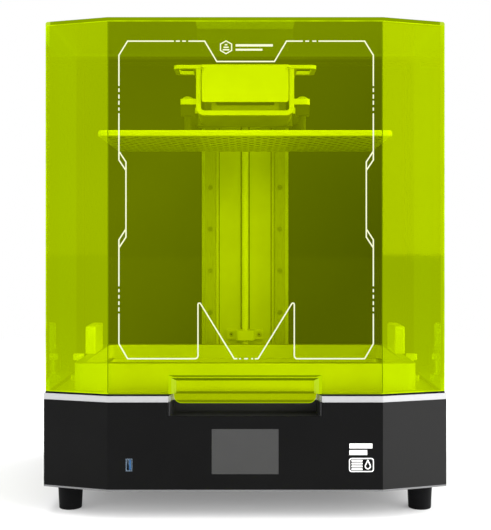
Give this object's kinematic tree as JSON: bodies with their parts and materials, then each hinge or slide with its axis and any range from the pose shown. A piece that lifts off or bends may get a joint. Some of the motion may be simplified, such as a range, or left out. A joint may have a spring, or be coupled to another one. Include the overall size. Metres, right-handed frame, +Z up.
{
  "type": "resin printer",
  "caption": "Large-format masked-LCD resin printer: black sheet-metal base, vat, ball-screw Z axis with perforated build plate, and a flip-up hood of fluorescent green acrylic.",
  "frame": {"origin": "centre of the footprint, on the surface that the feet stand on", "axes": "+X to the right seen from the front, +Y to the back, +Z up"},
  "size_m": [0.475, 0.4, 0.5835],
  "materials": {
    "black_sheet": "satin powder coat",
    "bottom_steel": "zinc plated",
    "deck_aluminium": "satin anodised",
    "black_plastic": "moulded",
    "foot_rubber": "matt",
    "gasket_rubber": "matt",
    "fastener_steel": "machined",
    "screen_glass": "gloss",
    "port_metal": "plated",
    "port_blue": "moulded",
    "light_housing": "plain",
    "lens_plastic": "clear",
    "heat_sink": "anodised",
    "psu_case": "plain",
    "circuit_board": "solder mask",
    "lcd_dark": "gloss",
    "cover_glass": "clear",
    "vat_aluminium": "bead blasted",
    "film_frame": "machined",
    "release_film": "clear",
    "column_aluminium": "anodised",
    "rail_steel": "ground",
    "block_steel": "blackened",
    "bearing_steel": "ground",
    "motor_black": "satin",
    "screw_steel": "ground",
    "coupler_aluminium": "anodised",
    "carriage_steel": "ground",
    "arm_aluminium": "bead blasted",
    "bracket_aluminium": "brushed",
    "plate_aluminium": "brushed",
    "acrylic_front": "polished, fluorescent green",
    "acrylic_chamfer": "polished, fluorescent green",
    "acrylic_side": "polished, fluorescent green",
    "hinge_steel": "satin"
  },
  "bodies": {
    "root": {"bottom_plate": "bottom_steel", "base_shell": "black_sheet", "deck_plate": "deck_aluminium", "notch_liner": "black_plastic", "rubber_feet": "foot_rubber", "foot_screws": "fastener_steel", "screen_glass": "screen_glass", "screen_module": "black_plastic", "usb_shell": "port_metal", "usb_tongue": "port_blue", "power_inlet": "black_plastic", "switch_bezel": "black_plastic", "light_engine_housing": "light_housing", "lens_array": "lens_plastic", "heat_sink": "heat_sink", "fan_frame": "black_plastic", "power_supply": "psu_case", "main_board": "circuit_board", "mask_lcd": "lcd_dark", "lcd_glass": "cover_glass", "vat_frame": "vat_aluminium", "film_frame": "film_frame", "release_film": "release_film", "film_screws": "fastener_steel", "vat_grips": "vat_aluminium", "rear_housing": "black_sheet", "back_wall": "black_sheet", "rear_cover": "black_sheet", "column": "column_aluminium", "linear_rails": "rail_steel", "rail_screws": "fastener_steel", "bearing_blocks": "block_steel", "screw_bearings": "bearing_steel", "z_motor": "motor_black", "limit_switch": "black_plastic", "lid_gasket": "gasket_rubber", "hinge_base_leaves": "hinge_steel", "hinge_pins": "fastener_steel"},
    "lid": {"lid_front_panel": "acrylic_front", "lid_chamfer_panels": "acrylic_chamfer", "lid_side_panels": "acrylic_side", "lid_top_panel": "acrylic_side", "lid_handle_lip": "acrylic_front", "hinge_lid_leaves": "hinge_steel"},
    "z_carriage": {"rail_carriages": "carriage_steel", "carriage_plate": "arm_aluminium", "ball_nut": "carriage_steel", "cantilever_arm": "arm_aluminium", "plate_bracket": "bracket_aluminium", "bracket_cap": "bracket_aluminium", "levelling_posts": "fastener_steel", "levelling_nuts": "fastener_steel", "build_plate": "plate_aluminium"},
    "lead_screw": {"motor_shaft": "bearing_steel", "shaft_coupler": "coupler_aluminium", "lead_screw": "screw_steel"},
    "fan": {"fan_rotor": "black_plastic"},
    "power_switch": {"switch_rocker": "black_plastic"},
    "thumbscrew_left": {"thumbscrew_left": "fastener_steel"},
    "thumbscrew_right": {"thumbscrew_right": "fastener_steel"}
  },
  "joints": [
    {"name": "lid_hinge", "type": "hinge", "parent": "root", "child": "lid", "pos_m": [0, 0.01625, 0.581], "axis": [-1, 0, 0], "range_deg": [0, 85]},
    {"name": "z_slide", "type": "slide", "parent": "root", "child": "z_carriage", "axis": [0, 0, 1], "range_m": [-0.303, 0]},
    {"name": "screw_spin", "type": "hinge", "parent": "root", "child": "lead_screw", "pos_m": [0, 0.082, 0.3], "axis": [0, 0, 1], "continuous": true},
    {"name": "fan_spin", "type": "hinge", "parent": "root", "child": "fan", "pos_m": [0, 0.184, 0.082], "axis": [0, 1, 0], "continuous": true},
    {"name": "power_switch_rock", "type": "hinge", "parent": "root", "child": "power_switch", "pos_m": [0.14, 0.194, 0.062], "axis": [-1, 0, 0], "range_deg": [0, 16]},
    {"name": "thumbscrew_left_turn", "type": "hinge", "parent": "root", "child": "thumbscrew_left", "pos_m": [-0.2145, -0.066, 0.16], "axis": [0, 0, 1], "range_deg": [0, 1080]},
    {"name": "thumbscrew_right_turn", "type": "hinge", "parent": "root", "child": "thumbscrew_right", "pos_m": [0.2145, -0.066, 0.16], "axis": [0, 0, 1], "range_deg": [0, 1080]}
  ],
  "couplings": [
    {"joint": "screw_spin", "follows": "z_slide", "rad_per_m": -1256.6}
  ]
}
